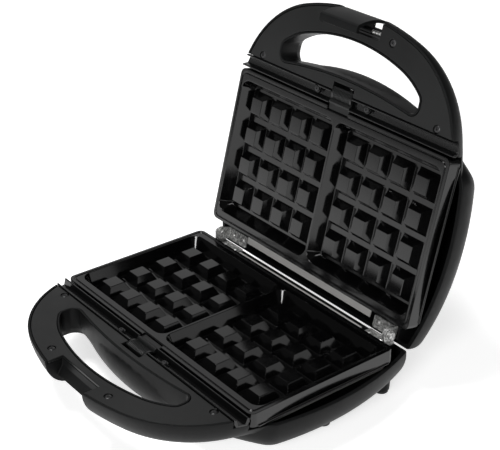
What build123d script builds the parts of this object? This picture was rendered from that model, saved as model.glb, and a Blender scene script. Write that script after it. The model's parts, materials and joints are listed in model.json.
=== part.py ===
from build123d import *
from math import asin, cos, degrees, radians, sin
import os

os.makedirs("parts", exist_ok=True)

# Both halves share one half frame, in which each common piece is modelled once:
# x runs across, y runs back to the hinge and is 0 at the plate's rear edge, and
# z points out of the half and is 0 at the plate's rim. The upper half is the
# mirror image, swung open about the hinge pins.

# Plate with its waffle pockets
plate_width = 230.0
plate_depth = 129.0
plate_corner = 5.0
plate_wall = 2.2
skirt_depth = 10.5
skirt_flare = 3.0
side_margin = 4.5
end_margin = 8.6
foot_flange = 1.6
foot_flange_height = 1.1
divider_width = 2.0
pocket_depth = 10.4
pocket_draft = 27.0
pocket_corner = 8.0
floor_wall = 2.4
peg_count = 4
peg_pitch_x = 24.3
peg_pitch_y = 25.2
peg_width = 19.9
peg_length = 20.4
peg_height = 7.3
peg_draft = 28.1
bead_inset = 2.6
bead_width = 1.0
bead_depth = 0.5
bead_corner = 4.0

# Moulded shell: three arcs run from the handle's front round to the straight back
shell_front = -203.5
shell_back = 18.2
front_radius = 195.0
front_turn = 17.2
cheek_radius = 83.6
cheek_turn = 51.5
side_radius = 225.0
rear_corner = 3.0
shell_wall = 2.6
handle_top = -0.8
handle_depth = 23.5
handle_round = 20.0
bowl_front = -155.5
bowl_arc = 200.0
bowl_corner = 14.0
bowl_depth = 42.0
bowl_round = 28.0
bowl_shoulder = 16.0
bowl_top = -3.0
bowl_lean = 1.6
bowl_front_lean = 2.9
cavity_front = -139.1
rim_drop = 12.0
seam_tolerance = 0.0001

# Handle cover and its finger opening
cover_top = -1.2
cover_thickness = 2.2
cover_rear = -141.0
cover_lip = 2.0
seat_clearance = 0.4
bow_width = 21.0
opening_rear = -151.0
opening_arc = 400.0
opening_half_width = 76.3
opening_corner = 8.0

# Latch recess in the handle's bow
recess_half_width = 24.2
recess_wall_top = -187.5
recess_wall_bend = (-188.3, -8.6)
recess_wall_foot = -193.0
ledge_drop = 15.5
opening_bevel = 7.0
opening_flare = 25.0

# Heat strip across the front of the plate
strip_rear = -130.5
strip_width = 10.0
strip_half_length = 117.5
strip_lip_top = -0.3
strip_valley = -4.7
strip_thickness = 1.6
strip_slope = 1.3
strip_ridge_round = 0.55
strip_screw_place = (27.3, -136.8)
strip_boss_radius = 3.0
strip_boss_top = -2.0
strip_screw_head = 2.2

# Sliding plate catch
catch_half_width = 11.0
catch_front = -143.8
catch_tip = -126.4
catch_top = -1.3
catch_thickness = 2.1
catch_edge = -2.2
catch_crown = -0.6
catch_groove = -134.2
catch_bar_rear = -130.6
catch_bar_top = -0.4
catch_travel = 3.2
catch_clearance = 0.3
catch_corner = 0.5
block_half_width = 7.8
block_rear = -132.0
block_top = -7.0
block_foot = -14.6
spring_bore_radius = 2.6
spring_radius = 1.8
spring_wire = 0.4
spring_turns = 5
spring_room = 2.5
guide_wall = 1.6
ledge_depth = 2.6
ledge_thickness = 2.5

# Reflector tray and heating element
tray_half_width = 108.0
tray_front = -121.0
tray_wall = 0.8
tray_floor = -20.4
tray_flange_half_width = 73.0
tray_flange_top = -6.2
tray_flange_rear = 8.3
tray_back = 2.2
tray_rim = -13.5
tray_corner = 6.0
tray_round = 2.0
clip_thickness = 0.7
clip_width = 6.0
terminal_length = 7.0
tube_radius = 3.25
element_half_width = 80.0
element_rear = -22.0
element_front = -107.0
element_bend = 22.0
element_gap = 14.0

# Hinge brackets, riveted at the outer ends
rim_gap = 1.0
hinge_y = 8.9
open_angle = 104.3
leaf_inner = 76.0
leaf_top = -7.6
leaf_thickness = 1.4
leaf_rear = 14.2
leaf_front = 4.6
leaf_corner = 1.8
ear_radius = 5.0
lower_ear_outer = 101.0
ear_gap = 0.3
pin_radius = 2.0
pin_fit = 0.05
pin_head_radius = 2.9
pin_head_height = 2.0
washer_radius = 3.9
washer_thickness = 0.8

# Latch clip on the upper handle
latch_pin_y = -191.4
latch_pin_z = -5.0
latch_pin_radius = 1.4
latch_pin_seat = 4.5
latch_half_width = 20.0
knuckle_half_width = 13.0
latch_skin = 2.4
knuckle_radius = 2.6
latch_lip = 2.4
latch_top = (-200.4, -10.5)
latch_middle = (-201.3, 1.0)
latch_tip = (-196.8, 18.0)
latch_reach = 19.3
latch_lip_end = -190.5

# Fasteners, legs and small parts
screw_head_radius = 2.7
screw_head_height = 1.4
counterbore_depth = 1.5
counterbore_gap = 0.4
screw_shank_radius = 1.4
screw_length = 10.0
foot_clearance = 6.0
rim_to_centre = 59.31
leg_radius = 6.0
leg_taper = 4.0
pad_radius = 5.2
pad_height = 2.0
leg_height = 14.0
leg_places = [(84, -103), (101, -53), (98, 6.5)]
cover_screw_places = [(95, -144), (37.2, -189)]
hinge_screw_places = [(80.5, 9.2), (93.2, 9.2)]
post_radius = 4.0
post_places = [(60, -32), (60, -98)]

gland_height = -20.5
gland_radius = 4.2
gland_flange_radius = 5.5
gland_bore = 2.9
gland_length = 7.8
gland_flange = 1.8
lens_crown = 0.6
lens_radius = 3.0
lens_flange = 1.0
lens_places = [(9, -104)]
board_size = (34, 14, 1.6)
lamp_height = 5
block_size = (36, 14, 12)
block_y = -20
block_pitch = 11
block_hole = (2, 8)
thermostat_base = (9, 3)
thermostat_cap = (6, 6)
fuse_size = (2, 12)
fuse_x = 36

above = (Align.CENTER, Align.CENTER, Align.MIN)
below = (Align.CENTER, Align.CENTER, Align.MAX)
parting = Plane.XY.offset(rim_gap / 2)
hinge_axis = Axis((0, hinge_y, rim_gap / 2), (1, 0, 0))
table_drop = bowl_depth + foot_clearance
half_origin = Location((0, rim_to_centre, table_drop))
cover_foot = cover_top - cover_thickness
strip_foot = strip_valley - strip_thickness
catch_foot = catch_top - catch_thickness
strip_front = strip_rear - strip_width
strip_centre = (strip_rear + strip_front) / 2
guide_front = catch_front - catch_travel - spring_room
guide_half_width = catch_half_width + 2 * catch_clearance
guide_foot = block_foot - catch_clearance
slot_front = catch_front - catch_travel - catch_clearance
spring_height = (block_top + block_foot) / 2
tray_foot = tray_floor - tray_wall
shelf_foot = guide_foot - shell_wall
shell_floor = shell_wall - bowl_depth
plate_floor = -pocket_depth - floor_wall
pocket_width = (plate_width - divider_width) / 2 - side_margin
pocket_centre_x = (pocket_width + divider_width) / 2
plate_centre_y = -plate_depth / 2
pocket_length = plate_depth - 2 * end_margin
widest_y = shell_front + (
    front_radius * (1 - cos(radians(front_turn)))
    + cheek_radius * (cos(radians(front_turn)) - cos(radians(front_turn + cheek_turn)))
    + side_radius * cos(radians(front_turn + cheek_turn))
)
widest_x = (
    front_radius * sin(radians(front_turn))
    + cheek_radius * (sin(radians(front_turn + cheek_turn)) - sin(radians(front_turn)))
    + side_radius * (1 - sin(radians(front_turn + cheek_turn)))
)


def in_base(shape):
    """Place a shape of the half frame in the standing lower half."""
    return shape.moved(half_origin)


def in_lid(shape):
    """Mirror a shape of the half frame into the upper half and swing it open."""
    return shape.mirror(parting).rotate(hinge_axis, -open_angle).moved(half_origin)


def write(shape, name):
    shape.label = name
    export_step(shape, f"parts/{name}.step")


def write_pair(shape, name):
    """Write a piece that both halves have."""
    write(in_base(shape), f"lower_{name}")
    write(in_lid(shape), f"upper_{name}")


def oval_outline(section, inset):
    """Draw the whole half's plan outline, set in by a parallel distance."""
    half_turn = 90 - front_turn - cheek_turn
    rear_turn = degrees(asin((shell_back - inset - widest_y) / (side_radius - inset)))
    with BuildLine() as path:
        front = JernArc((0, shell_front + inset), (1, 0), front_radius - inset, front_turn)
        cheek = JernArc(front @ 1, front % 1, cheek_radius - inset, cheek_turn)
        side = JernArc(cheek @ 1, cheek % 1, side_radius - inset, half_turn + rear_turn)
        Line(side @ 1, (0, shell_back - inset))
        mirror(about=Plane.YZ)
    make_face(path.edges())
    corners = section.vertices().group_by(Axis.Y)[-1].sort_by(Axis.X)
    fillet([corners[0], corners[-1]], rear_corner)


def bowl_outline(section, inset, front_lean=0.0):
    """Draw the plan outline of the bowl under the plate: arcs at the sides and the front."""
    for side in (1, -1):
        with Locations((side * (widest_x - side_radius), widest_y)):
            Circle(side_radius - inset, mode=Mode.ADD if side == 1 else Mode.INTERSECT)
    with Locations((0, bowl_front + bowl_arc)):
        Circle(bowl_arc - inset - front_lean, mode=Mode.INTERSECT)
    with Locations((0, shell_back - inset)):
        Rectangle(2 * widest_x, bowl_arc, align=(Align.CENTER, Align.MAX), mode=Mode.INTERSECT)
    fillet(section.vertices().group_by(Axis.Y)[-1], rear_corner)
    fillet(section.vertices().group_by(Axis.Y)[0], bowl_corner)


def quarter_round(start, width, depth, steps):
    """Heights and insets down a quarter ellipse, from upright to flat."""
    turns = [radians(90 * step / steps) for step in range(steps + 1)]
    return [(start - depth * sin(turn), width * (1 - cos(turn))) for turn in turns]


def opening_outline(section, inset):
    """Draw the finger opening between the handle's bow and the bowl, set in by a distance."""
    oval_outline(section, bow_width + inset)
    with Locations((0, opening_rear + opening_arc)):
        Circle(opening_arc + inset, mode=Mode.SUBTRACT)
    with Locations((0, shell_front)):
        Rectangle(2 * (opening_half_width - inset), opening_arc, mode=Mode.INTERSECT)
    ends = section.vertices().group_by(Axis.X)
    fillet([*ends[0], *ends[-1]], opening_corner - inset)


def both_sides(places, height=0.0):
    """Repeat places on the right at the same distance on the left."""
    return [(side * x, y, height) for x, y in places for side in (-1, 1)]


def behind(line, mode=Mode.ADD):
    """Draw a wide rectangle that reaches back from a line across the half."""
    with Locations((0, line)):
        Rectangle(3 * widest_x, 2 * plate_depth, align=(Align.CENTER, Align.MIN), mode=mode)


def screw(places, head_radius):
    """Make a group of pan-head screws whose heads are seated at the places."""
    with Locations(*places):
        Cylinder(head_radius, screw_head_height, align=above)
        Cylinder(screw_shank_radius, screw_length, align=below)


def screw_holes(places):
    with Locations(*places):
        Hole(screw_shank_radius + pin_fit, screw_length + pin_fit)


# The finger opening through the cover, the groove inside it, and the shell's own rim
with BuildSketch() as cover_opening:
    opening_outline(cover_opening, 0)
with BuildSketch() as groove_outline:
    opening_outline(groove_outline, seat_clearance)
with BuildSketch() as shell_opening:
    opening_outline(shell_opening, cover_lip)

# Deep bowl, also used to trim what stands inside it
with BuildPart() as bowl:
    for share in (1, 2 / 3, 1 / 3):
        with BuildSketch(Plane.XY.offset(share * (bowl_top + bowl_shoulder) - bowl_shoulder)) as section:
            bowl_outline(section, share**2 * bowl_lean, share**2 * bowl_front_lean)
    for height, inset in quarter_round(-bowl_shoulder, bowl_round, bowl_depth - bowl_shoulder, 6):
        with BuildSketch(Plane.XY.offset(height)) as section:
            bowl_outline(section, inset)
    loft()

# Hollow of the bowl, with a shelf over its front that carries the catch's guide
with BuildPart() as cavity:
    wall = shell_wall + bowl_lean / 2
    for height, inset in quarter_round(shelf_foot, bowl_round, shelf_foot - shell_floor, 4):
        with BuildSketch(Plane.XY.offset(height)) as section:
            bowl_outline(section, inset + wall)
    loft()
    with BuildSketch(Plane.XY.offset(shelf_foot)) as section:
        bowl_outline(section, wall)
        behind(cavity_front, Mode.INTERSECT)
    extrude(amount=rim_gap - shelf_foot)

# Bosses inside the bowl: for the heat strip, the reflector tray and the hinge leaves
leaf_boss = ((leaf_inner + lower_ear_outer) / 2, shell_back)
with BuildPart() as bosses:
    with BuildSketch(Plane.XY.offset(-bowl_depth)):
        with Locations(*both_sides([strip_screw_place])):
            Circle(post_radius)
    extrude(amount=bowl_depth + strip_foot)
    with BuildSketch(Plane.XY.offset(-bowl_depth)):
        with Locations(*both_sides(post_places)):
            Circle(post_radius)
    extrude(amount=bowl_depth + tray_foot)
    with BuildSketch(Plane.XY.offset(-bowl_depth)):
        with Locations(*both_sides([leaf_boss])):
            Rectangle(
                lower_ear_outer - leaf_inner, shell_back - leaf_front, align=(Align.CENTER, Align.MAX)
            )
    extrude(amount=bowl_depth + leaf_top - leaf_thickness)
    with BuildSketch(Plane.XY.offset(-rim_drop)):
        behind(leaf_rear)
    extrude(amount=rim_drop, mode=Mode.SUBTRACT)
    add(bowl.part, mode=Mode.INTERSECT)

# Oval handle slab with its finger opening and latch recess
with BuildPart() as handle_slab:
    for height, inset in quarter_round(handle_top, handle_round, handle_depth, 6):
        with BuildSketch(Plane.XY.offset(height)) as section:
            oval_outline(section, inset)
    loft()
    with BuildSketch():
        add(shell_opening.sketch)
    extrude(amount=-2 * handle_depth, mode=Mode.SUBTRACT)
    with BuildSketch(Plane.XY.offset(handle_top - handle_depth + opening_bevel)):
        add(shell_opening.sketch)
    extrude(amount=-2 * opening_bevel, taper=-opening_flare, mode=Mode.SUBTRACT)
    with BuildSketch(Plane.YZ.offset(-recess_half_width)):
        with BuildLine():
            Polyline(
                (recess_wall_top, -cover_top),
                (recess_wall_top, cover_top),
                recess_wall_bend,
                (recess_wall_foot, -ledge_drop),
                (opening_rear, -ledge_drop),
                (opening_rear, -2 * handle_depth),
                (1.1 * shell_front, -2 * handle_depth),
                (1.1 * shell_front, -cover_top),
                close=True,
            )
        make_face()
    extrude(amount=2 * recess_half_width, mode=Mode.SUBTRACT)

# Shell common to both halves: handle slab and bowl, hollowed, with a stepped rim
with BuildPart() as half_shell:
    add(handle_slab.part.fuse(bowl.part, tol=seam_tolerance))
    add(cavity.part, mode=Mode.SUBTRACT)
    for line, height in ((strip_rear + catch_clearance, -rim_drop), (cover_rear, strip_foot)):
        with BuildSketch(Plane.XY.offset(height)):
            behind(line)
        extrude(amount=2 * rim_drop, mode=Mode.SUBTRACT)
    add(bosses.part)
    with BuildSketch(Plane.XY.offset(cover_foot)) as section:
        oval_outline(section, cover_lip)
        behind(cover_rear, Mode.SUBTRACT)
        add(groove_outline.sketch, mode=Mode.SUBTRACT)
    extrude(amount=rim_drop, mode=Mode.SUBTRACT)
    with BuildSketch(Plane.XY.offset(cover_foot)):
        with Locations((0, guide_front)):
            Rectangle(2 * guide_half_width, strip_rear - guide_front, align=(Align.CENTER, Align.MIN))
    extrude(amount=guide_foot - cover_foot, mode=Mode.SUBTRACT)
    screw_holes(both_sides(cover_screw_places, cover_foot))
    screw_holes(both_sides([strip_screw_place], strip_foot))
    screw_holes(both_sides(post_places, tray_foot))
    screw_holes(both_sides(hinge_screw_places, leaf_top - leaf_thickness))

# Legs, trimmed to the bowl's inner face
with BuildPart() as legs:
    with BuildSketch(Plane.XY.offset(pad_height - table_drop)):
        with Locations(*both_sides(leg_places)):
            Circle(leg_radius)
    extrude(amount=leg_height, taper=-leg_taper)
    add(cavity.part, mode=Mode.SUBTRACT)

# Lower shell: legs below and the cord's hole at the back
with BuildPart() as lower_shell:
    add(half_shell.part)
    add(legs.part)
    with Locations((0, shell_back, gland_height)):
        Cylinder(gland_radius + pin_fit, 4 * shell_wall, rotation=(90, 0, 0), mode=Mode.SUBTRACT)

# Upper shell: holes for the latch pin and the indicator lenses
with BuildPart() as upper_shell:
    add(half_shell.part)
    with Locations((0, latch_pin_y, latch_pin_z)):
        Cylinder(
            latch_pin_radius + pin_fit,
            2 * (recess_half_width + latch_pin_seat + pin_fit),
            rotation=(0, 90, 0),
            mode=Mode.SUBTRACT,
        )
    with Locations(*both_sides(lens_places, -bowl_depth)):
        Cylinder(lens_radius + pin_fit, 4 * shell_wall, mode=Mode.SUBTRACT)

# Cover screwed into the handle, with the finger opening, latch notch and catch slot
with BuildPart() as handle_cover:
    with BuildSketch(Plane.XY.offset(cover_foot)) as section:
        oval_outline(section, cover_lip + seat_clearance)
        behind(cover_rear, Mode.SUBTRACT)
        add(cover_opening.sketch, mode=Mode.SUBTRACT)
        with Locations((0, recess_wall_top)):
            Rectangle(
                2 * recess_half_width, bow_width, align=(Align.CENTER, Align.MAX), mode=Mode.SUBTRACT
            )
        with Locations((0, slot_front)):
            Rectangle(
                2 * (catch_half_width + catch_clearance),
                bow_width,
                align=(Align.CENTER, Align.MIN),
                mode=Mode.SUBTRACT,
            )
    extrude(amount=cover_thickness)
    with Locations(*both_sides(cover_screw_places, cover_top)):
        CounterBoreHole(
            screw_shank_radius + pin_fit, screw_head_radius + counterbore_gap, counterbore_depth
        )

# Heat strip: a folded trough across the front of the plate
with BuildPart() as heat_strip:
    with BuildSketch(Plane.YZ.offset(-strip_half_length)):
        with BuildLine():
            Polyline(
                (strip_rear, strip_lip_top),
                (strip_rear - strip_slope, strip_lip_top),
                (strip_rear - 2 * strip_slope, strip_valley),
                (strip_front + 2 * strip_slope, strip_valley),
                (strip_front + strip_slope, strip_lip_top),
                (strip_front, strip_lip_top),
                (strip_front, strip_lip_top - 2 * strip_thickness),
                (strip_front + strip_slope, strip_foot),
                (strip_rear - strip_slope, strip_foot),
                (strip_rear, strip_lip_top - 2 * strip_thickness),
                close=True,
            )
        make_face()
    extrude(amount=2 * strip_half_length)
    fillet(heat_strip.edges().filter_by(Axis.X).group_by(Axis.Z)[-1], strip_ridge_round)
    with BuildSketch(Plane.XY.offset(strip_foot)) as section:
        oval_outline(section, seat_clearance)
    extrude(amount=rim_drop, mode=Mode.INTERSECT)
    with Locations(*both_sides([strip_screw_place], strip_foot)):
        Cylinder(strip_boss_radius, strip_boss_top - strip_foot, align=above)
    with Locations(*both_sides([strip_screw_place], strip_boss_top)):
        Cylinder(strip_boss_radius, rim_drop, align=above, mode=Mode.SUBTRACT)
    with Locations((0, strip_centre, catch_foot - catch_clearance)):
        Box(
            2 * (catch_half_width + catch_clearance),
            2 * strip_width,
            rim_drop,
            align=above,
            mode=Mode.SUBTRACT,
        )
    screw_holes(both_sides([strip_screw_place], strip_boss_top))

# Waffle plate: a pressed pan with two pockets of tapered pegs
with BuildPart() as waffle_plate:
    with BuildSketch():
        with Locations((0, plate_centre_y)):
            RectangleRounded(plate_width, plate_depth, plate_corner)
    extrude(amount=-skirt_depth, taper=-skirt_flare)
    with BuildSketch(Plane.XY.offset(-plate_wall)):
        with Locations((0, plate_centre_y)):
            RectangleRounded(
                plate_width - 2 * plate_wall, plate_depth - 2 * plate_wall, plate_corner - plate_wall
            )
    extrude(amount=-skirt_depth, taper=-skirt_flare, mode=Mode.SUBTRACT)
    with BuildSketch(Plane.XY.offset(-skirt_depth)):
        with Locations((0, plate_centre_y)):
            RectangleRounded(
                plate_width + 2 * foot_flange, plate_depth - 2 * plate_corner, foot_flange
            )
            Rectangle(plate_width - plate_wall, plate_depth, mode=Mode.SUBTRACT)
    extrude(amount=foot_flange_height)
    with BuildSketch(Plane.XY.offset(-plate_wall / 2)):
        with Locations((0, plate_centre_y)):
            RectangleRounded(
                plate_width - 2 * side_margin + plate_wall,
                pocket_length + plate_wall,
                pocket_corner,
            )
    extrude(amount=plate_floor + plate_wall / 2, taper=pocket_draft / 2)
    with BuildSketch():
        with Locations(*both_sides([(pocket_centre_x, plate_centre_y)])):
            RectangleRounded(pocket_width, pocket_length, pocket_corner)
    extrude(amount=-pocket_depth, taper=pocket_draft, mode=Mode.SUBTRACT)
    with BuildSketch(Plane.XY.offset(-pocket_depth)):
        for pocket in both_sides([(pocket_centre_x, plate_centre_y)]):
            with Locations(pocket):
                with GridLocations(peg_pitch_x, peg_pitch_y, peg_count, peg_count):
                    Rectangle(peg_width, peg_length)
    extrude(amount=peg_height, taper=peg_draft)
    with BuildSketch():
        with Locations((0, plate_centre_y)):
            for inset, mode in ((bead_inset, Mode.ADD), (bead_inset + bead_width, Mode.SUBTRACT)):
                RectangleRounded(
                    plate_width - 2 * inset, plate_depth - 2 * inset, bead_corner, mode=mode
                )
    extrude(amount=-bead_depth, mode=Mode.SUBTRACT)
    with Locations((0, -plate_depth, catch_foot - catch_clearance)):
        Box(
            2 * (catch_half_width + catch_clearance) + 2 * plate_wall,
            2 * plate_wall + ledge_depth + end_margin / 2,
            ledge_thickness,
            align=(Align.CENTER, Align.MIN, Align.MAX),
        )
        Box(
            2 * (catch_half_width + catch_clearance),
            2 * (ledge_depth + catch_clearance),
            rim_drop,
            align=above,
            mode=Mode.SUBTRACT,
        )

# Reflector tray: a pressed steel pan with a flange behind the plate
with BuildPart() as reflector_tray:
    with BuildSketch(Plane.XY.offset(tray_foot)):
        with Locations((0, tray_front)):
            Rectangle(2 * tray_half_width, tray_back - tray_front, align=(Align.CENTER, Align.MIN))
    extrude(amount=tray_rim - tray_foot)
    fillet(reflector_tray.edges().filter_by(Axis.Z), tray_corner)
    fillet(reflector_tray.faces().sort_by(Axis.Z)[0].edges(), tray_round)
    offset(amount=-tray_wall, openings=reflector_tray.faces().sort_by(Axis.Z)[-1])
    with BuildSketch(Plane.YZ.offset(-tray_flange_half_width)):
        with BuildLine():
            Polyline(
                (tray_back - tray_wall, tray_rim - tray_wall),
                (tray_back - tray_wall, tray_flange_top),
                (tray_flange_rear, tray_flange_top),
                (tray_flange_rear, tray_flange_top - tray_wall),
                (tray_back, tray_flange_top - tray_wall),
                (tray_back, tray_rim - tray_wall),
                close=True,
            )
        make_face()
    extrude(amount=2 * tray_flange_half_width)
    with Locations(*both_sides(post_places, tray_floor)):
        Hole(screw_shank_radius + pin_fit, 2 * tray_wall)

# Heating element: one bent tube with its cold ends facing each other at the back
element_height = tray_floor + tube_radius
element_path = [
    (element_gap, element_rear, element_height),
    (element_half_width, element_rear, element_height),
    (element_half_width, element_front, element_height),
    (-element_half_width, element_front, element_height),
    (-element_half_width, element_rear, element_height),
    (-element_gap, element_rear, element_height),
]
with BuildPart() as heating_element:
    with BuildLine():
        bend = FilletPolyline(*element_path, radius=element_bend)
    with BuildSketch(Plane(bend @ 0, z_dir=bend % 0)):
        Circle(tube_radius)
    sweep()

# Terminals pressed on the element's cold ends
with BuildPart() as element_terminals:
    with Locations(*both_sides([(element_gap - terminal_length / 2, element_rear)], element_height)):
        Cylinder(tube_radius / 2, terminal_length, rotation=(0, 90, 0))

# Clips that hold the element down on the tray
with BuildPart() as element_clips:
    clip_span = tube_radius + clip_thickness
    for place in both_sides([(element_half_width, (element_rear + element_front) / 2)], element_height):
        with BuildSketch(Plane.XZ.offset(clip_width / 2 - place[1])):
            with Locations((place[0], element_height)):
                Circle(clip_span)
                Circle(tube_radius + pin_fit, mode=Mode.SUBTRACT)
                Rectangle(2 * clip_span, clip_span, align=(Align.CENTER, Align.MAX), mode=Mode.SUBTRACT)
            for side, inward, outward in ((-1, Align.MIN, Align.MAX), (1, Align.MAX, Align.MIN)):
                with Locations((place[0] + side * clip_span, tray_floor)):
                    Rectangle(clip_thickness - pin_fit, tube_radius, align=(inward, Align.MIN))
                    Rectangle(clip_width, clip_thickness, align=(outward, Align.MIN))
        extrude(amount=-clip_width)

# Plate catch: a slider with an arched thumb rest, a bar and a nose over the plate's rim
with BuildPart() as release_catch:
    with BuildSketch(Plane.YZ.offset(-catch_half_width)):
        with BuildLine():
            Polyline(
                (catch_groove, catch_edge),
                (catch_groove, catch_foot),
                (catch_front, catch_foot),
                (catch_front, catch_edge),
            )
            thumb_rest_top = ((catch_front + catch_groove) / 2, catch_crown)
            ThreePointArc((catch_front, catch_edge), thumb_rest_top, (catch_groove, catch_edge))
        make_face()
        with BuildLine():
            Polyline(
                (catch_bar_rear, catch_top),
                (catch_tip, catch_top),
                (catch_tip, catch_foot),
                (catch_groove, catch_foot),
                (catch_groove, catch_edge),
            )
            bar_top = ((catch_groove + catch_bar_rear) / 2, catch_bar_top)
            ThreePointArc((catch_groove, catch_edge), bar_top, (catch_bar_rear, catch_top))
        make_face()
    extrude(amount=2 * catch_half_width)
    fillet(release_catch.edges().filter_by(Axis.Z), catch_corner)
    with BuildSketch(Plane.XY.offset(block_foot)):
        with Locations((0, catch_front)):
            Rectangle(2 * block_half_width, block_rear - catch_front, align=(Align.CENTER, Align.MIN))
    extrude(amount=block_top - block_foot)
    with BuildSketch(Plane.XY.offset(block_foot)):
        with Locations((0, catch_front)):
            Rectangle(
                2 * block_half_width,
                strip_front - catch_clearance - catch_front,
                align=(Align.CENTER, Align.MIN),
            )
    extrude(amount=catch_foot - block_foot)
    with BuildSketch(Plane.XZ.offset(-catch_front)):
        with Locations((0, spring_height)):
            Circle(spring_bore_radius)
    extrude(amount=catch_front - block_rear + guide_wall, mode=Mode.SUBTRACT)

# Spring that pushes the catch back over the rim
spring_length = block_rear - guide_wall - catch_travel - catch_clearance - guide_front
with BuildPart() as catch_spring:
    with BuildLine():
        coil = Helix(
            pitch=(spring_length - spring_wire) / spring_turns,
            height=spring_length - spring_wire,
            radius=spring_radius,
            center=(0, guide_front + spring_wire / 2 + pin_fit, spring_height),
            direction=(0, 1, 0),
        )
    with BuildSketch(Plane(coil @ 0, z_dir=coil % 0)):
        RegularPolygon(spring_wire / 2, 6)
    sweep(is_frenet=True)

# Screws
with BuildPart() as cover_screws:
    screw(both_sides(cover_screw_places, cover_top - counterbore_depth), screw_head_radius)
with BuildPart() as strip_screws:
    screw(both_sides([strip_screw_place], strip_boss_top), strip_screw_head)
with BuildPart() as tray_screws:
    screw(both_sides(post_places, tray_floor), screw_head_radius)
with BuildPart() as hinge_screws:
    screw(both_sides(hinge_screw_places, leaf_top), screw_head_radius)


def hinge_leaf(ear_outer):
    """Model one folded steel hinge leaf with its ear round the pin."""
    with BuildPart() as leaf:
        with BuildSketch(Plane.XY.offset(leaf_top)):
            with Locations((leaf_inner, leaf_front)):
                Rectangle(ear_outer - leaf_inner, leaf_rear - leaf_front, align=(Align.MIN, Align.MIN))
        extrude(amount=-leaf_thickness)
        fillet(leaf.edges().filter_by(Axis.Z).group_by(Axis.X)[0], leaf_corner)
        with BuildSketch(Plane.YZ.offset(ear_outer)):
            with Locations((hinge_y, rim_gap / 2)):
                Circle(ear_radius)
            with Locations((hinge_y, leaf_top - leaf_thickness)):
                Rectangle(
                    2 * ear_radius,
                    rim_gap / 2 - leaf_top + leaf_thickness,
                    align=(Align.CENTER, Align.MIN),
                )
            with Locations((hinge_y, rim_gap / 2)):
                Circle(pin_radius + pin_fit, mode=Mode.SUBTRACT)
        extrude(amount=-leaf_thickness)
        with Locations(*[(x, y, leaf_top) for x, y in hinge_screw_places]):
            Hole(screw_shank_radius + pin_fit, 2 * leaf_thickness)
    return leaf


lower_leaf = hinge_leaf(lower_ear_outer)
upper_leaf = hinge_leaf(lower_ear_outer - leaf_thickness - ear_gap)

# Rivet through both ears, with its heads, and the washer under its outer head
ear_stack = 2 * leaf_thickness + ear_gap
with BuildPart() as hinge_pin:
    with Locations(Plane.YZ.offset(lower_ear_outer)):
        with Locations((hinge_y, rim_gap / 2, washer_thickness + 2 * pin_fit)):
            Cylinder(pin_head_radius, pin_head_height, align=above)
            Cylinder(pin_radius, ear_stack + washer_thickness + 3 * pin_fit, align=below)
        with Locations((hinge_y, rim_gap / 2, -ear_stack - pin_fit)):
            Cylinder(pin_head_radius, pin_head_height / 2, align=below)
with BuildPart() as hinge_washer:
    with Locations(Plane.YZ.offset(lower_ear_outer + pin_fit)):
        with Locations((hinge_y, rim_gap / 2)):
            Cylinder(washer_radius, washer_thickness, align=above)
            Cylinder(pin_radius + pin_fit, washer_thickness, align=above, mode=Mode.SUBTRACT)

# Latch clip: a curved skin with an inward lip, hung from a knuckle round its pin
with BuildPart() as latch_clip:
    with BuildSketch(Plane.YZ.offset(-latch_half_width)):
        with BuildLine():
            outer = ThreePointArc(latch_top, latch_middle, latch_tip)
            Polyline(
                outer @ 1,
                (latch_tip[0] + latch_skin / 2, latch_reach),
                (latch_lip_end, latch_reach),
                (latch_lip_end, latch_reach - latch_lip),
                (latch_tip[0] + latch_skin, latch_reach - latch_lip),
            )
            ThreePointArc(
                (latch_tip[0] + latch_skin, latch_reach - latch_lip),
                (latch_middle[0] + latch_skin, latch_middle[1]),
                (latch_top[0] + latch_skin, latch_top[1]),
            )
            Line((latch_top[0] + latch_skin, latch_top[1]), latch_top)
        make_face()
    extrude(amount=2 * latch_half_width)
    with BuildSketch(Plane.YZ.offset(-knuckle_half_width)):
        with Locations((latch_pin_y, latch_pin_z)):
            Rectangle(
                latch_pin_y - latch_middle[0] - latch_skin / 2,
                latch_skin,
                align=(Align.MAX, Align.CENTER),
            )
            Circle(knuckle_radius)
            Circle(latch_pin_radius + pin_fit, mode=Mode.SUBTRACT)
    extrude(amount=2 * knuckle_half_width)
with BuildPart() as latch_pin:
    with Locations((0, latch_pin_y, latch_pin_z)):
        Cylinder(latch_pin_radius, 2 * (recess_half_width + latch_pin_seat), rotation=(0, 90, 0))

# Rubber pads under the legs
with BuildPart() as foot_pads:
    with Locations(*both_sides(leg_places, -table_drop)):
        Cylinder(pad_radius, pad_height, align=above)

# Grommet where the cord leaves the lower shell
with BuildPart() as cord_gland:
    with Locations((0, shell_back + pin_fit, gland_height)):
        Cylinder(gland_flange_radius, gland_flange, rotation=(-90, 0, 0), align=above)
        Cylinder(gland_radius, gland_length, rotation=(-90, 0, 0), align=below)
        Cylinder(gland_bore, 3 * gland_length, rotation=(90, 0, 0), mode=Mode.SUBTRACT)

# Electrical parts in the lower half: terminal block on the floor, thermostat and fuse under the tray
with BuildPart() as terminal_block:
    with Locations((0, block_y, shell_floor + pin_fit)):
        Box(*block_size, align=above)
        with Locations((0, 0, block_size[2])):
            with GridLocations(block_pitch, 1, 3, 1):
                Hole(*block_hole)
with BuildPart() as thermostat:
    with Locations((0, plate_centre_y, tray_foot)):
        Cylinder(*thermostat_base, align=below)
    with Locations((0, plate_centre_y, tray_foot - thermostat_base[1])):
        Cylinder(*thermostat_cap, align=below)
with BuildPart() as thermal_fuse:
    with Locations((fuse_x, plate_centre_y, tray_foot - fuse_size[0])):
        Cylinder(*fuse_size, rotation=(0, 90, 0))

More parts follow.
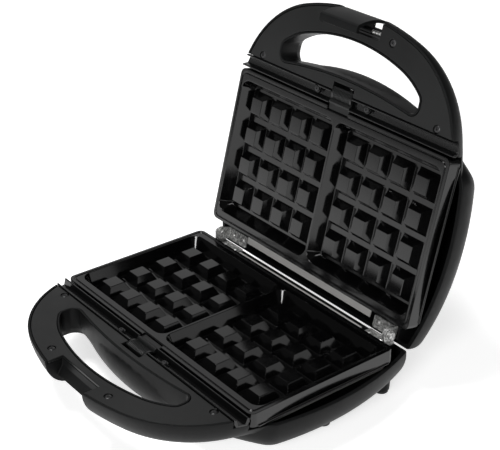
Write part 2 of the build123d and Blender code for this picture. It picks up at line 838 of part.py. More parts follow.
# Indicator lights of the upper half: two lenses through the shell and their lamp board
with BuildPart() as indicator_lenses:
    with Locations(*both_sides(lens_places, -bowl_depth - lens_crown)):
        Cylinder(lens_radius, shell_wall + lens_crown, align=above)
    with Locations(*both_sides(lens_places, shell_floor)):
        Cylinder(lens_radius + lens_flange, lens_flange, align=above)
with BuildPart() as indicator_board:
    with Locations(*both_sides(lens_places, shell_floor + lens_flange)):
        Cylinder(lens_radius - lens_flange, lamp_height, align=above)
    with Locations((0, lens_places[0][1], shell_floor + lens_flange + lamp_height)):
        Box(*board_size, align=above)

for piece, name in (
    (handle_cover, "handle_cover"),
    (heat_strip, "heat_strip"),
    (waffle_plate, "waffle_plate"),
    (reflector_tray, "reflector_tray"),
    (heating_element, "heating_element"),
    (element_terminals, "element_terminals"),
    (element_clips, "element_clips"),
    (release_catch, "release_catch"),
    (catch_spring, "catch_spring"),
    (cover_screws, "cover_screws"),
    (strip_screws, "strip_screws"),
    (tray_screws, "tray_screws"),
    (hinge_screws, "hinge_screws"),
):
    write_pair(piece.part, name)
for side, about in (("left", Plane.YZ), ("right", None)):
    for piece, name, place in (
        (lower_leaf, "lower_hinge_leaf", in_base),
        (upper_leaf, "upper_hinge_leaf", in_lid),
        (hinge_pin, "hinge_pin", in_base),
        (hinge_washer, "hinge_washer", in_base),
    ):
        shape = piece.part.mirror(about) if about else piece.part
        write(place(shape), f"{name}_{side}")
write(in_base(lower_shell.part), "lower_shell")
write(in_lid(upper_shell.part), "upper_shell")
write(in_lid(latch_clip.part), "latch_clip")
write(in_lid(latch_pin.part), "latch_pin")
write(in_base(foot_pads.part), "foot_pads")
write(in_base(cord_gland.part), "cord_gland")
write(in_base(terminal_block.part), "terminal_block")
write(in_base(thermostat.part), "thermostat")
write(in_base(thermal_fuse.part), "thermal_fuse")
write(in_lid(indicator_lenses.part), "indicator_lenses")
write(in_lid(indicator_board.part), "indicator_board")
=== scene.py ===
import json
import math

import bmesh
import bpy
from bpy.props import FloatProperty, FloatVectorProperty, IntProperty, PointerProperty
from mathutils import Matrix, Vector

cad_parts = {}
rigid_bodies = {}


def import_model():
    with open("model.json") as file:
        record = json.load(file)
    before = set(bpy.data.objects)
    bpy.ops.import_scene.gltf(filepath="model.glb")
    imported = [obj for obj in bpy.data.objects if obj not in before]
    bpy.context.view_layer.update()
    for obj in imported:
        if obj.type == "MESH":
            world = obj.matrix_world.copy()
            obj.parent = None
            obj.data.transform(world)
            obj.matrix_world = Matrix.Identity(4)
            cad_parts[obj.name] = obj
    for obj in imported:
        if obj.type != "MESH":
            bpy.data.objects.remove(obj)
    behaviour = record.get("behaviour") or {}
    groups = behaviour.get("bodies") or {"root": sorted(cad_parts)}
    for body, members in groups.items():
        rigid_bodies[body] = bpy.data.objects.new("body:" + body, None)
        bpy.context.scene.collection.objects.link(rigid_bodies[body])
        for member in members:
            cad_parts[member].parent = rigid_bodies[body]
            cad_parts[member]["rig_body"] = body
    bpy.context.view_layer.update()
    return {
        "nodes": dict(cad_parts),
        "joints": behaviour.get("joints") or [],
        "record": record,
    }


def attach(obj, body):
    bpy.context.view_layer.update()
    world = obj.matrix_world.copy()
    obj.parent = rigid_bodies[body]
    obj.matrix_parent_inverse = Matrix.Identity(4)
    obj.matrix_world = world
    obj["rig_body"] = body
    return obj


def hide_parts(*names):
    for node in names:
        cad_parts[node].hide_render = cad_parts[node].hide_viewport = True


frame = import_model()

bl_info = {
    "name": "Sandwich Maker Dressing",
    "version": (1, 0, 0),
    "blender": (4, 5, 0),
    "location": "View3D > Sidebar > Sandwich Maker",
    "description": "Finishes the packed sandwich maker: edges, screws, finishes and studio",
    "category": "Object",
}

MM = 0.001
SLOTS = {part["node"]: part["material_slot"] for part in frame["record"]["subparts"]}
JOINTS = {joint["name"]: joint for joint in frame["joints"]}
HINGE = Vector(JOINTS["lid_hinge"]["pos_m"])
OPEN_ANGLE = math.radians(JOINTS["lid_hinge"]["range_deg"][1])

# The half frame of one half: x across, y back to the hinge, z up from the plate's rim
HINGE_IN_HALF = Vector((0, 8.9, 0.5)) * MM
LOWER = Matrix.Translation(HINGE - HINGE_IN_HALF)
UPPER = (
    Matrix.Translation(HINGE)
    @ Matrix.Rotation(-OPEN_ANGLE, 4, "X")
    @ Matrix.Scale(-1, 4, (0, 0, 1))
    @ Matrix.Translation(-HINGE_IN_HALF)
)
HALVES = {"lower": (LOWER, "base"), "upper": (UPPER, "lid")}

# Where the screw heads are seated in the half frame, in millimetres
SCREW_SEATS = {
    "cover": [(side * x, y, -2.7) for x, y in ((95, -144), (37.2, -189)) for side in (-1, 1)],
    "strip": [(side * 27.3, -136.8, -2.0) for side in (-1, 1)],
    "hinge": [(side * x, 9.2, -7.6) for x in (80.5, 93.2) for side in (-1, 1)],
}

# Each screw is turned by its number times the step, from the start, in degrees
SCREW_TURN_START = 12
SCREW_TURN_STEP = 37

# A pan head's outline from its top centre to its under side, in shares of its radius and height
PAN_OUTLINE = ((0, 1), (0.5, 0.96), (0.82, 0.8), (1, 0.45), (1, 0), (0, 0))

# Length of the cross recess over the head's radius, and how its slots narrow to the bottom
CROSS_REACH = 1.15
CROSS_TAPER = (0.45, 0.7, 1)

# Centre of a thumb rest's arch in the half frame, y and z
THUMB_REST_CENTRE = (-139.0 * MM, -8.6 * MM)

# Packed corners closer than this are one, and faces within this angle are one flat face
MERGE_DISTANCE = 0.002 * MM
FLAT_ANGLE = math.radians(0.4)

# Corners of a spun screw head closer than this are one
SEAM_DISTANCE = 0.001 * MM

# Edges above the crisp angle are rounded, and those above the sharp angle shade as sharp
CRISP_ANGLE = math.radians(28)
SHARP_ANGLE = math.radians(32)

# Faces across a rounded edge, round a screw head, round a rib and along a rib
EDGE_SEGMENTS = 2
HEAD_SEGMENTS = 32
RIB_SIDES = 8
RIB_SEGMENTS = 10

# Soft lamps: name, place, side of the square, and the studio setting with the power
LAMPS = (
    ("top_lamp", (-0.3, -0.5, 2.1), 0.6, "top_power"),
    ("back_lamp", (-1.35, 1.05, 1.0), 1.3, "back_power"),
    ("front_lamp", (0.9, -1.5, 0.9), 0.6, "front_power"),
    ("right_lamp", (1.5, 1.1, 0.65), 0.8, "right_power"),
)
LAMP_TARGET = Vector((0, 0, 0.1))

PAPER_COLOUR = (0.92, 0.92, 0.92)


def length(name, default, description):
    """A size in metres that the sidebar shows."""
    return FloatProperty(
        name=name, description=description, default=default, min=0, unit="LENGTH", precision=5
    )


def colour(name, default, description):
    """A linear colour that the sidebar shows."""
    return FloatVectorProperty(
        name=name, description=description, default=default, subtype="COLOR", size=3, min=0, max=1
    )


def share(name, default, description):
    """A share from 0 to 1 that the sidebar shows."""
    return FloatProperty(
        name=name, description=description, default=default, min=0, max=1, subtype="FACTOR"
    )


def angle(name, degrees, description):
    """An angle that the sidebar shows."""
    return FloatProperty(
        name=name, description=description, default=math.radians(degrees), subtype="ANGLE"
    )


def watts(name, default, description):
    """A lamp's power that the sidebar shows."""
    return FloatProperty(name=name, description=description, default=default, min=0)


class EdgeSizes(bpy.types.PropertyGroup):
    plate: length("Plate", 0.4 * MM, "Rounding of the pressed plate's crisp edges")
    shell: length("Shell", 0.5 * MM, "Rounding of the moulded shell's rims")
    cover: length("Cover", 0.35 * MM, "Rounding round the handle covers")
    strip: length("Strip", 0.3 * MM, "Rounding of the folded heat strips")
    steel: length("Steel", 0.15 * MM, "Broken edge of the stamped steel pieces")
    catch: length("Catch", 0.3 * MM, "Rounding of the release catches")


class RibSizes(bpy.types.PropertyGroup):
    count: IntProperty(
        name="Count", description="Ribs on each side of the middle one", default=6, min=0
    )
    pitch: length("Pitch", 1.4 * MM, "Distance between the ribs on the catches' thumb rests")
    radius: length("Radius", 0.35 * MM, "Radius of each rib's round section")
    arch: length("Arch", 8.0 * MM, "Radius of the thumb rest's arch")
    half_angle: angle("Half angle", 34, "How far a rib reaches from the arch's crown")


class ScrewSizes(bpy.types.PropertyGroup):
    cover_head: length("Cover head", 2.7 * MM, "Radius of the sunk pan heads in the covers")
    strip_head: length("Strip head", 2.2 * MM, "Radius of the pan heads on the heat strips")
    leaf_head: length("Leaf head", 2.7 * MM, "Radius of the pan heads on the hinge leaves")
    head_height: length("Head height", 1.4 * MM, "Height of every head")
    cross_width: length("Cross width", 0.7 * MM, "Width of the cross recess's slots")
    cross_depth: length("Cross depth", 0.9 * MM, "Depth of the cross recess")


class Colours(bpy.types.PropertyGroup):
    shell: colour("Shell", (0.0055, 0.0057, 0.0058), "Moulded black plastic")
    cover: colour("Cover", (0.0065, 0.0068, 0.0068), "Satin black plastic of the handle covers")
    strip: colour("Strip", (0.003, 0.0031, 0.0032), "Glossy black paint on the heat strips")
    coating: colour("Coating", (0.0010, 0.0010, 0.0011), "Nonstick coating on the plates")
    bright_steel: colour("Bright steel", (0.72, 0.71, 0.69), "Polished tray steel")
    zinc: colour("Zinc", (0.56, 0.56, 0.55), "Zinc plating on the hinges")
    dark_screw: colour("Dark screw", (0.035, 0.035, 0.036), "Blackened screws")


class StudioSizes(bpy.types.PropertyGroup):
    camera: FloatVectorProperty(
        name="Camera", description="Where the camera stands", unit="LENGTH",
        default=(0.62994, -0.47647, 0.53103),
    )
    azimuth: angle("Azimuth", 51.75, "Turn of the view from straight behind the handles")
    elevation: angle("Elevation", 27.59, "How far the camera looks down")
    lens: FloatProperty(name="Lens", description="Focal length in millimetres", default=89.22)
    floor: length("Floor", 12.0, "Side of the square floor")
    top_power: watts("Top", 24.0, "Power of the soft lamp overhead in watts")
    back_power: watts("Back", 3.2, "Power of the soft lamp behind at the left in watts")
    front_power: watts("Front", 18.0, "Power of the soft lamp in front in watts")
    right_power: watts("Right", 1.6, "Power of the soft lamp behind at the right in watts")
    sky: share("Sky", 0.07, "Strength of the grey surroundings")
    mirrored_sky: share("Mirrored sky", 0.06, "Strength of the surroundings in reflections")
    floor_lift: share("Floor lift", 0.68, "Light that the paper adds where it is seen or mirrored")


class SandwichMaker(bpy.types.PropertyGroup):
    edges: PointerProperty(type=EdgeSizes)
    ribs: PointerProperty(type=RibSizes)
    screws: PointerProperty(type=ScrewSizes)
    colours: PointerProperty(type=Colours)
    studio: PointerProperty(type=StudioSizes)


# Shader node groups shared by the finishes


def new_group(name, inputs, outputs):
    """Start a shader node group with float inputs and outputs, and its object coordinates."""
    group = bpy.data.node_groups.new(name, "ShaderNodeTree")
    for label, default in inputs:
        socket = group.interface.new_socket(label, in_out="INPUT", socket_type="NodeSocketFloat")
        socket.default_value = default
    for label in outputs:
        group.interface.new_socket(label, in_out="OUTPUT", socket_type="NodeSocketFloat")
    start = group.nodes.new("NodeGroupInput")
    end = group.nodes.new("NodeGroupOutput")
    place = group.nodes.new("ShaderNodeTexCoord").outputs["Object"]
    return group, start, end, place


def moulding_grain():
    """Fine spark-eroded grain of a mould, and broad patches where the gloss shifts."""
    group, start, end, place = new_group(
        "moulding_grain", [("Grain Scale", 2200.0), ("Patch Scale", 26.0)], ["Height", "Patches"]
    )
    nodes, links = group.nodes, group.links
    grain = nodes.new("ShaderNodeTexNoise")
    grain.inputs["Detail"].default_value = 2.0
    links.new(place, grain.inputs["Vector"])
    links.new(start.outputs["Grain Scale"], grain.inputs["Scale"])
    patches = nodes.new("ShaderNodeTexNoise")
    patches.inputs["Detail"].default_value = 4.0
    links.new(place, patches.inputs["Vector"])
    links.new(start.outputs["Patch Scale"], patches.inputs["Scale"])
    spread = nodes.new("ShaderNodeMapRange")
    spread.inputs["From Min"].default_value = 0.35
    spread.inputs["From Max"].default_value = 0.65
    links.new(patches.outputs["Fac"], spread.inputs["Value"])
    links.new(grain.outputs["Fac"], end.inputs["Height"])
    links.new(spread.outputs["Result"], end.inputs["Patches"])
    return group


def rubbed_edge():
    """A mask that is 1 on rubbed edges and 0 on the faces; it marks wear and a painted edge
    highlight.
    """
    group, start, end, place = new_group("rubbed_edge", [("Amount", 1.0)], ["Wear"])
    nodes, links = group.nodes, group.links
    sharpness = nodes.new("ShaderNodeNewGeometry").outputs["Pointiness"]
    edge = nodes.new("ShaderNodeMapRange")
    edge.inputs["From Min"].default_value = 0.52
    edge.inputs["From Max"].default_value = 0.62
    links.new(sharpness, edge.inputs["Value"])
    breaks = nodes.new("ShaderNodeTexNoise")
    breaks.inputs["Scale"].default_value = 180.0
    links.new(place, breaks.inputs["Vector"])
    uneven = nodes.new("ShaderNodeMath")
    uneven.operation = "MULTIPLY"
    links.new(edge.outputs["Result"], uneven.inputs[0])
    links.new(breaks.outputs["Fac"], uneven.inputs[1])
    scaled = nodes.new("ShaderNodeMath")
    scaled.operation = "MULTIPLY"
    scaled.use_clamp = True
    links.new(uneven.outputs["Value"], scaled.inputs[0])
    links.new(start.outputs["Amount"], scaled.inputs[1])
    links.new(scaled.outputs["Value"], end.inputs["Wear"])
    return group


def shared_group(build):
    """Return a shader node group, built the first time that a finish asks for it."""
    return bpy.data.node_groups.get(build.__name__) or build()


# Finishes


def new_finish(name, base, metallic=0.0):
    """Start a finish and return its material and Principled node."""
    material = bpy.data.materials.new(f"{name}_finish")
    material.use_nodes = True
    material.diffuse_color = (*base, 1.0)
    surface = material.node_tree.nodes["Principled BSDF"]
    surface.inputs["Base Color"].default_value = (*base, 1.0)
    surface.inputs["Metallic"].default_value = metallic
    return material, surface


def place_group(material, build, **values):
    """Put a shared node group in a material with its own input values."""
    node = material.node_tree.nodes.new("ShaderNodeGroup")
    node.node_tree = shared_group(build)
    for label, value in values.items():
        node.inputs[label.replace("_", " ")].default_value = value
    return node


def tint(material, surface, mask, plain, marked):
    """Mix two base colours by a mask."""
    mix = material.node_tree.nodes.new("ShaderNodeMix")
    mix.data_type = "RGBA"
    mix.inputs["A"].default_value = (*plain, 1.0)
    mix.inputs["B"].default_value = (*marked, 1.0)
    material.node_tree.links.new(mask, mix.inputs["Factor"])
    material.node_tree.links.new(mix.outputs["Result"], surface.inputs["Base Color"])


def vary_roughness(material, surface, mask, plain, marked):
    """Mix two roughnesses by a mask."""
    spread = material.node_tree.nodes.new("ShaderNodeMapRange")
    spread.inputs["To Min"].default_value = plain
    spread.inputs["To Max"].default_value = marked
    material.node_tree.links.new(mask, spread.inputs["Value"])
    material.node_tree.links.new(spread.outputs["Result"], surface.inputs["Roughness"])


def emboss(material, surface, height, strength, distance):
    """Turn a height into a fine bump."""
    bump = material.node_tree.nodes.new("ShaderNodeBump")
    bump.inputs["Strength"].default_value = strength
    bump.inputs["Distance"].default_value = distance
    material.node_tree.links.new(height, bump.inputs["Height"])
    material.node_tree.links.new(bump.outputs["Normal"], surface.inputs["Normal"])


def lighter(base, amount):
    """Scale a colour, up to white."""
    return tuple(min(1.0, value * amount) for value in base)


def black_plastic(name, base, smooth, rough, gloss):
    """Moulded black plastic with a fine grain, and edges lightened as slight wear and a painted
    highlight.
    """
    material, surface = new_finish(name, base)
    surface.inputs["Specular IOR Level"].default_value = gloss
    grain = place_group(material, moulding_grain, Grain_Scale=2600.0, Patch_Scale=22.0)
    wear_and_highlight = place_group(material, rubbed_edge, Amount=1.2)
    # Edges are lightened: partly rubbed wear, partly a painted highlight on the rounded edges
    tint(material, surface, wear_and_highlight.outputs["Wear"], base, lighter(base, 2.4))
    vary_roughness(material, surface, grain.outputs["Patches"], smooth, rough)
    emboss(material, surface, grain.outputs["Height"], strength=0.12, distance=0.1 * MM)


def nonstick_coating(name, base):
    """Sprayed nonstick coating: near black, smooth, with a light orange peel."""
    material, surface = new_finish(name, base)
    grain = place_group(material, moulding_grain, Grain_Scale=900.0, Patch_Scale=45.0)
    wear_and_highlight = place_group(material, rubbed_edge, Amount=1.0)
    # Edges are lightened: partly rubbed wear, partly a painted highlight on the rounded edges
    tint(material, surface, wear_and_highlight.outputs["Wear"], base, lighter(base, 3.0))
    vary_roughness(material, surface, grain.outputs["Patches"], plain=0.10, marked=0.14)
    emboss(material, surface, grain.outputs["Height"], strength=0.06, distance=0.06 * MM)


def polished_steel(name, base):
    """Rolled sheet steel with its fine lines along x."""
    material, surface = new_finish(name, base, metallic=0.5)
    nodes, links = material.node_tree.nodes, material.node_tree.links
    place = nodes.new("ShaderNodeTexCoord").outputs["Object"]
    stretch = nodes.new("ShaderNodeMapping")
    stretch.inputs["Scale"].default_value = (30.0, 2400.0, 2400.0)
    links.new(place, stretch.inputs["Vector"])
    lines = nodes.new("ShaderNodeTexNoise")
    lines.inputs["Scale"].default_value = 1.0
    links.new(stretch.outputs["Vector"], lines.inputs["Vector"])
    vary_roughness(material, surface, lines.outputs["Fac"], plain=0.38, marked=0.55)
    emboss(material, surface, lines.outputs["Fac"], strength=0.08, distance=0.05 * MM)


def zinc_steel(name, base):
    """Zinc-plated steel with a mottled, slightly dulled skin."""
    material, surface = new_finish(name, base, metallic=0.6)
    nodes, links = material.node_tree.nodes, material.node_tree.links
    place = nodes.new("ShaderNodeTexCoord").outputs["Object"]
    blotches = nodes.new("ShaderNodeTexNoise")
    blotches.inputs["Scale"].default_value = 620.0
    blotches.inputs["Detail"].default_value = 5.0
    links.new(place, blotches.inputs["Vector"])
    spread = nodes.new("ShaderNodeMapRange")
    spread.inputs["From Min"].default_value = 0.4
    spread.inputs["From Max"].default_value = 0.62
    links.new(blotches.outputs["Fac"], spread.inputs["Value"])
    tint(material, surface, spread.outputs["Result"], lighter(base, 0.45), lighter(base, 1.35))
    vary_roughness(material, surface, spread.outputs["Result"], plain=0.5, marked=0.28)
    emboss(material, surface, blotches.outputs["Fac"], strength=0.25, distance=0.1 * MM)


def plain_part(name, base, smooth, rough, metallic=0.0):
    """A finish for a small part: a patchy gloss and a fine grain."""
    material, surface = new_finish(name, base, metallic)
    grain = place_group(material, moulding_grain, Grain_Scale=1500.0, Patch_Scale=80.0)
    vary_roughness(material, surface, grain.outputs["Patches"], smooth, rough)
    tint(material, surface, grain.outputs["Patches"], lighter(base, 0.85), lighter(base, 1.12))
    emboss(material, surface, grain.outputs["Height"], strength=0.1, distance=0.08 * MM)


def clear_lens(name, base):
    """Tinted clear plastic over an indicator lamp."""
    _, surface = new_finish(name, base)
    surface.inputs["Roughness"].default_value = 0.08
    surface.inputs["Transmission Weight"].default_value = 0.6
    surface.inputs["Coat Weight"].default_value = 0.3


def make_finishes(colours):
    """Make a finish for each slot of the record and for the strips, and dress the pieces."""
    slots = {
        material["slot"]: tuple(material["base_color"])
        for material in frame["record"]["materials"]
    }
    black_plastic("black_plastic", colours.shell, smooth=0.40, rough=0.50, gloss=0.13)
    black_plastic("satin_black_plastic", colours.cover, smooth=0.34, rough=0.44, gloss=0.36)
    black_plastic("strip_paint", colours.strip, smooth=0.14, rough=0.22, gloss=0.5)
    nonstick_coating("nonstick_coating", colours.coating)
    polished_steel("polished_steel", colours.bright_steel)
    zinc_steel("bare_steel", colours.zinc)
    plain_part("blackened_steel", colours.dark_screw, smooth=0.3, rough=0.45, metallic=0.4)
    plain_part("element_sheath", slots["element_sheath"], smooth=0.35, rough=0.55, metallic=0.9)
    plain_part("brass", slots["brass"], smooth=0.25, rough=0.4, metallic=1.0)
    plain_part("black_rubber", slots["black_rubber"], smooth=0.7, rough=0.85)
    clear_lens("clear_lens", slots["clear_lens"])
    plain_part("white_plastic", slots["white_plastic"], smooth=0.4, rough=0.55)
    plain_part("board_plastic", slots["board_plastic"], smooth=0.5, rough=0.65)
    for node, piece in frame["nodes"].items():
        dress(piece, SLOTS[node])


def dress(piece, finish):
    """Give a piece one finish, found by its name."""
    piece.data.materials.clear()
    piece.data.materials.append(bpy.data.materials[f"{finish}_finish"])


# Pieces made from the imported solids, with their crisp edges rounded


def merged_copy(node):
    """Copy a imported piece's loose triangles into one joined form with flat faces whole."""
    form = bmesh.new()
    form.from_mesh(frame["nodes"][node].data)
    bmesh.ops.remove_doubles(form, verts=form.verts, dist=MERGE_DISTANCE)
    bmesh.ops.dissolve_limit(
        form, angle_limit=FLAT_ANGLE, verts=form.verts, edges=form.edges,
        use_dissolve_boundaries=False,
    )
    return form


def round_edges(form, width):
    """Round every edge of a form that turns more than the crisp angle."""
    crisp = [
        edge for edge in form.edges
        if edge.is_manifold and edge.calc_face_angle(0) > CRISP_ANGLE
    ]
    bmesh.ops.bevel(
        form, geom=crisp, offset=width, offset_type="OFFSET", affect="EDGES",
        segments=EDGE_SEGMENTS, profile=0.5, clamp_overlap=False, material=-1, loop_slide=False,
    )


def as_mesh(form, name):
    """Turn a form into a mesh, and free it."""
    mesh = bpy.data.meshes.new(name)
    form.to_mesh(mesh)
    form.free()
    return mesh


def add_to_form(form, part, place, name):
    """Move a part to its place, mirrored or not, and join it to a form."""
    bmesh.ops.transform(part, matrix=place, verts=part.verts)
    if place.determinant() < 0:
        bmesh.ops.reverse_faces(part, faces=part.faces)
    copy = as_mesh(part, name)
    form.from_mesh(copy)
    bpy.data.meshes.remove(copy)


def finish_form(form, name, body, slot, nodes, finish=None):
    """Turn a form into a named piece on a body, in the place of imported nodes."""
    mesh = as_mesh(form, name)
    mesh.polygons.foreach_set("use_smooth", [True] * len(mesh.polygons))
    mesh.set_sharp_from_angle(angle=SHARP_ANGLE)
    piece = bpy.data.objects.new(name, mesh)
    bpy.context.scene.collection.objects.link(piece)
    dress(piece, finish or slot)
    weights = piece.modifiers.new("weighted_normals", "WEIGHTED_NORMAL")
    weights.keep_sharp = True
    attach(piece, body)
    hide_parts(*nodes)


def soften(node, width, finish=None):
    """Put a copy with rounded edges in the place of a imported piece."""
    form = merged_copy(node)
    round_edges(form, width)
    replace_node(form, node, finish)


def replace_node(form, node, finish=None):
    """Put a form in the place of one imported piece, on the same body."""
    body = frame["nodes"][node]["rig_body"]
    finish_form(form, f"{node}_piece", body, SLOTS[node], [node], finish)


# Screws


def pan_head(head_radius, head_height, cross_width, cross_depth):
    """Spin a pan head about z and sink a cross recess into its top."""
    form = bmesh.new()
    points = [form.verts.new((out * head_radius, 0, up * head_height)) for out, up in PAN_OUTLINE]
    edges = [form.edges.new(pair) for pair in zip(points, points[1:])]
    bmesh.ops.spin(
        form, geom=[*points, *edges], cent=(0, 0, 0), axis=(0, 0, 1), angle=math.tau,
        steps=HEAD_SEGMENTS, use_merge=True,
    )
    bmesh.ops.remove_doubles(form, verts=form.verts, dist=SEAM_DISTANCE)
    bmesh.ops.recalc_face_normals(form, faces=form.faces)
    cross = bmesh.new()
    for turn in (0, math.pi / 2):
        bar = bmesh.ops.create_cube(cross, size=1.0)["verts"]
        bmesh.ops.scale(
            cross, vec=(CROSS_REACH * head_radius, cross_width, 2 * cross_depth), verts=bar
        )
        low = [vert for vert in bar if vert.co.z < 0]
        bmesh.ops.scale(cross, vec=CROSS_TAPER, verts=low)
        bmesh.ops.rotate(cross, cent=(0, 0, 0), matrix=Matrix.Rotation(turn, 3, "Z"), verts=bar)
    bmesh.ops.translate(cross, vec=(0, 0, head_height), verts=cross.verts)
    return cut_away(as_mesh(form, "screw_head"), as_mesh(cross, "screw_cross"))


def cut_away(solid, cutter):
    """Subtract one mesh from another and return the result as a mesh."""
    body = bpy.data.objects.new("cut_body", solid)
    tool = bpy.data.objects.new("cut_tool", cutter)
    for each in (body, tool):
        bpy.context.scene.collection.objects.link(each)
    cut = body.modifiers.new("cut", "BOOLEAN")
    cut.operation = "DIFFERENCE"
    cut.solver = "EXACT"
    cut.use_self = True
    cut.object = tool
    bpy.context.view_layer.update()
    evaluated = body.evaluated_get(bpy.context.evaluated_depsgraph_get())
    result = bpy.data.meshes.new_from_object(evaluated)
    for each in (body, tool):
        bpy.data.objects.remove(each)
    return result


def set_screws(name, mesh, places, half, nodes, slot):
    """Set copies of one screw at places of a half, each turned a little differently."""
    form = bmesh.new()
    frame_of_half, body = HALVES[half]
    for number, (x, y, z) in enumerate(places):
        turn = math.radians(SCREW_TURN_STEP * number + SCREW_TURN_START)
        seat = Matrix.Translation(Vector((x, y, z)) * MM)
        one = bmesh.new()
        one.from_mesh(mesh)
        place = frame_of_half @ seat @ Matrix.Rotation(turn, 4, "Z")
        add_to_form(form, one, place, "screw_copy")
    finish_form(form, name, body, slot, nodes)


class SANDWICH_OT_finishes(bpy.types.Operator):
    """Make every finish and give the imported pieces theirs"""

    bl_idname = "sandwich.finishes"
    bl_label = "Finishes"

    def execute(self, context):
        make_finishes(context.scene.sandwich_maker.colours)
        return {"FINISHED"}


class SANDWICH_OT_plates(bpy.types.Operator):
    """Round the crisp edges of both waffle plates"""

    bl_idname = "sandwich.plates"
    bl_label = "Waffle plates"

    def execute(self, context):
        for half in HALVES:
            soften(f"{half}_waffle_plate", context.scene.sandwich_maker.edges.plate)
        return {"FINISHED"}


class SANDWICH_OT_shells(bpy.types.Operator):
    """Round the rims of both moulded shells"""

    bl_idname = "sandwich.shells"
    bl_label = "Shells"

    def execute(self, context):
        for half in HALVES:
            soften(f"{half}_shell", context.scene.sandwich_maker.edges.shell)
        return {"FINISHED"}


class SANDWICH_OT_covers(bpy.types.Operator):
    """Round the edges of both handle covers"""

    bl_idname = "sandwich.covers"
    bl_label = "Handle covers"

    def execute(self, context):
        for half in HALVES:
            soften(f"{half}_handle_cover", context.scene.sandwich_maker.edges.cover)
        return {"FINISHED"}


class SANDWICH_OT_heat_strips(bpy.types.Operator):
    """Round the folds of both heat strips"""

    bl_idname = "sandwich.heat_strips"
    bl_label = "Heat strips"

    def execute(self, context):
        for half in HALVES:
            soften(f"{half}_heat_strip", context.scene.sandwich_maker.edges.strip, "strip_paint")
        return {"FINISHED"}


def lay_rib(form, x, ribs, frame_of_half):
    """Add one rib over a thumb rest's arch: a small ring turned through the arch's angle."""
    rib = bmesh.new()
    centre = Vector((x, *THUMB_REST_CENTRE))
    crown = Matrix.Translation(centre + Vector((0, 0, ribs.arch)))
    upright = Matrix.Rotation(math.pi / 2, 4, "X")
    bmesh.ops.create_circle(rib, segments=RIB_SIDES, radius=ribs.radius, matrix=crown @ upright)
    start = Matrix.Rotation(ribs.half_angle, 3, "X")
    bmesh.ops.rotate(rib, cent=centre, matrix=start, verts=rib.verts)
    bmesh.ops.spin(
        rib, geom=[*rib.verts, *rib.edges], cent=centre, axis=(1, 0, 0),
        angle=-2 * ribs.half_angle, steps=RIB_SEGMENTS,
    )
    bmesh.ops.holes_fill(rib, edges=[edge for edge in rib.edges if edge.is_boundary])
    bmesh.ops.recalc_face_normals(rib, faces=rib.faces)
    add_to_form(form, rib, frame_of_half, "rib")


class SANDWICH_OT_catches(bpy.types.Operator):
    """Round the latch clip and the release catches, and rib the catches' thumb rests"""

    bl_idname = "sandwich.catches"
    bl_label = "Catches and latch"

    def execute(self, context):
        looks = context.scene.sandwich_maker
        soften("latch_clip", looks.edges.catch)
        for half, (frame_of_half, _) in HALVES.items():
            node = f"{half}_release_catch"
            form = merged_copy(node)
            round_edges(form, looks.edges.catch)
            for number in range(-looks.ribs.count, looks.ribs.count + 1):
                lay_rib(form, number * looks.ribs.pitch, looks.ribs, frame_of_half)
            replace_node(form, node)
        return {"FINISHED"}


class SANDWICH_OT_hinges(bpy.types.Operator):
    """Break the edges of the hinge leaves and rivets"""

    bl_idname = "sandwich.hinges"
    bl_label = "Hinges"

    def execute(self, context):
        edge = context.scene.sandwich_maker.edges.steel
        for side in ("left", "right"):
            for piece in ("lower_hinge_leaf", "upper_hinge_leaf", "hinge_pin", "hinge_washer"):
                soften(f"{piece}_{side}", edge)
        return {"FINISHED"}


class SANDWICH_OT_screws(bpy.types.Operator):
    """Set cross-head screws in the covers, the heat strips and the hinge leaves"""

    bl_idname = "sandwich.screws"
    bl_label = "Screws"

    def execute(self, context):
        sizes = context.scene.sandwich_maker.screws
        for kind, head_radius, slot in (
            ("cover", sizes.cover_head, "blackened_steel"),
            ("strip", sizes.strip_head, "blackened_steel"),
            ("hinge", sizes.leaf_head, "bare_steel"),
        ):
            head = pan_head(head_radius, sizes.head_height, sizes.cross_width, sizes.cross_depth)
            for half in HALVES:
                name, nodes = f"{half}_{kind}_screw_heads", [f"{half}_{kind}_screws"]
                set_screws(name, head, SCREW_SEATS[kind], half, nodes, slot)
        return {"FINISHED"}


class SANDWICH_OT_studio(bpy.types.Operator):
    """Lay the pale floor and set the soft lamps and the camera"""

    bl_idname = "sandwich.studio"
    bl_label = "Studio"

    def execute(self, context):
        studio = context.scene.sandwich_maker.studio
        lay_floor(studio)
        hang_lamps(context, studio)
        set_camera(context, studio)
        context.scene.view_settings.view_transform = "Standard"
        return {"FINISHED"}


def backdrop_light(tree, plain, mirrored):
    """Make a strength of 1 where the camera sees the backdrop, and set ones elsewhere."""
    nodes, links = tree.nodes, tree.links
    rays = nodes.new("ShaderNodeLightPath")
    level = rays.outputs["Is Camera Ray"]
    for kind in ("Is Glossy Ray", "Is Transmission Ray"):
        weighted = nodes.new("ShaderNodeMath")
        weighted.operation = "MULTIPLY"
        weighted.inputs[1].default_value = mirrored
        links.new(rays.outputs[kind], weighted.inputs[0])
        greater = nodes.new("ShaderNodeMath")
        greater.operation = "MAXIMUM"
        links.new(level, greater.inputs[0])
        links.new(weighted.outputs["Value"], greater.inputs[1])
        level = greater.outputs["Value"]
    least = nodes.new("ShaderNodeMath")
    least.operation = "MAXIMUM"
    least.inputs[1].default_value = plain
    links.new(level, least.inputs[0])
    return least.outputs["Value"]


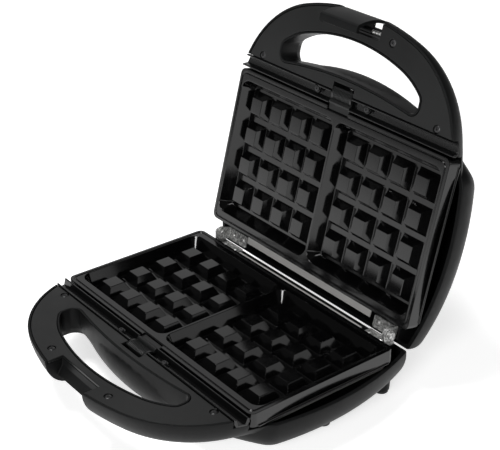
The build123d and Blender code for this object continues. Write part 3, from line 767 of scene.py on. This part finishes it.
def lay_floor(studio):
    """Lay pale paper that is white where it is seen and keeps the shadow."""
    form = bmesh.new()
    bmesh.ops.create_grid(form, x_segments=1, y_segments=1, size=studio.floor / 2)
    floor = bpy.data.objects.new("studio_floor", as_mesh(form, "studio_floor"))
    bpy.context.scene.collection.objects.link(floor)
    material, surface = new_finish("floor_paper", PAPER_COLOUR)
    surface.inputs["Roughness"].default_value = 0.9
    surface.inputs["Emission Strength"].default_value = studio.floor_lift
    light = backdrop_light(material.node_tree, plain=0.0, mirrored=1.0)
    material.node_tree.links.new(light, surface.inputs["Emission Color"])
    dress(floor, "floor_paper")


def hang_lamps(context, studio):
    """Hang soft lamps overhead, in front and behind at both sides, and grey surroundings."""
    for name, place, size, power in LAMPS:
        lamp = bpy.data.lights.new(name, "AREA")
        lamp.size = size
        lamp.energy = getattr(studio, power)
        lamp_object = bpy.data.objects.new(name, lamp)
        lamp_object.location = place
        aim = (LAMP_TARGET - Vector(place)).to_track_quat("-Z", "Y")
        lamp_object.rotation_euler = aim.to_euler()
        context.scene.collection.objects.link(lamp_object)
    world = bpy.data.worlds.new("pale_surroundings")
    context.scene.world = world
    world.use_nodes = True
    background = world.node_tree.nodes["Background"]
    background.inputs["Color"].default_value = (1, 1, 1, 1)
    light = backdrop_light(world.node_tree, studio.sky, studio.mirrored_sky)
    world.node_tree.links.new(light, background.inputs["Strength"])


def set_camera(context, studio):
    """Stand the camera where the photo's stood."""
    camera = bpy.data.cameras.new("photo_camera")
    camera.sensor_fit = "HORIZONTAL"
    camera.lens = studio.lens
    camera_object = bpy.data.objects.new("photo_camera", camera)
    camera_object.location = studio.camera
    camera_object.rotation_euler = (math.pi / 2 - studio.elevation, 0, studio.azimuth)
    context.scene.collection.objects.link(camera_object)
    context.scene.camera = camera_object


STEPS = (
    SANDWICH_OT_finishes,
    SANDWICH_OT_plates,
    SANDWICH_OT_shells,
    SANDWICH_OT_covers,
    SANDWICH_OT_heat_strips,
    SANDWICH_OT_catches,
    SANDWICH_OT_hinges,
    SANDWICH_OT_screws,
    SANDWICH_OT_studio,
)


class SANDWICH_PT_panel(bpy.types.Panel):
    """Lists the steps that dress the sandwich maker"""

    bl_idname = "SANDWICH_PT_panel"
    bl_label = "Sandwich Maker"
    bl_space_type = "VIEW_3D"
    bl_region_type = "UI"
    bl_category = "Sandwich Maker"

    def draw(self, context):
        looks = context.scene.sandwich_maker
        for group in (looks.edges, looks.ribs, looks.screws, looks.colours, looks.studio):
            box = self.layout.box()
            for name in group.bl_rna.properties.keys():
                if name not in ("rna_type", "name"):
                    box.prop(group, name)
        for step in STEPS:
            self.layout.operator(step.bl_idname)


CLASSES = (
    EdgeSizes, RibSizes, ScrewSizes, Colours, StudioSizes, SandwichMaker, *STEPS, SANDWICH_PT_panel
)


def register():
    for each in CLASSES:
        bpy.utils.register_class(each)
    bpy.types.Scene.sandwich_maker = PointerProperty(type=SandwichMaker)


def unregister():
    del bpy.types.Scene.sandwich_maker
    for each in reversed(CLASSES):
        bpy.utils.unregister_class(each)


def main():
    register()
    for step in STEPS:
        group, name = step.bl_idname.split(".")
        getattr(getattr(bpy.ops, group), name)()


if __name__ == "__main__":
    main()
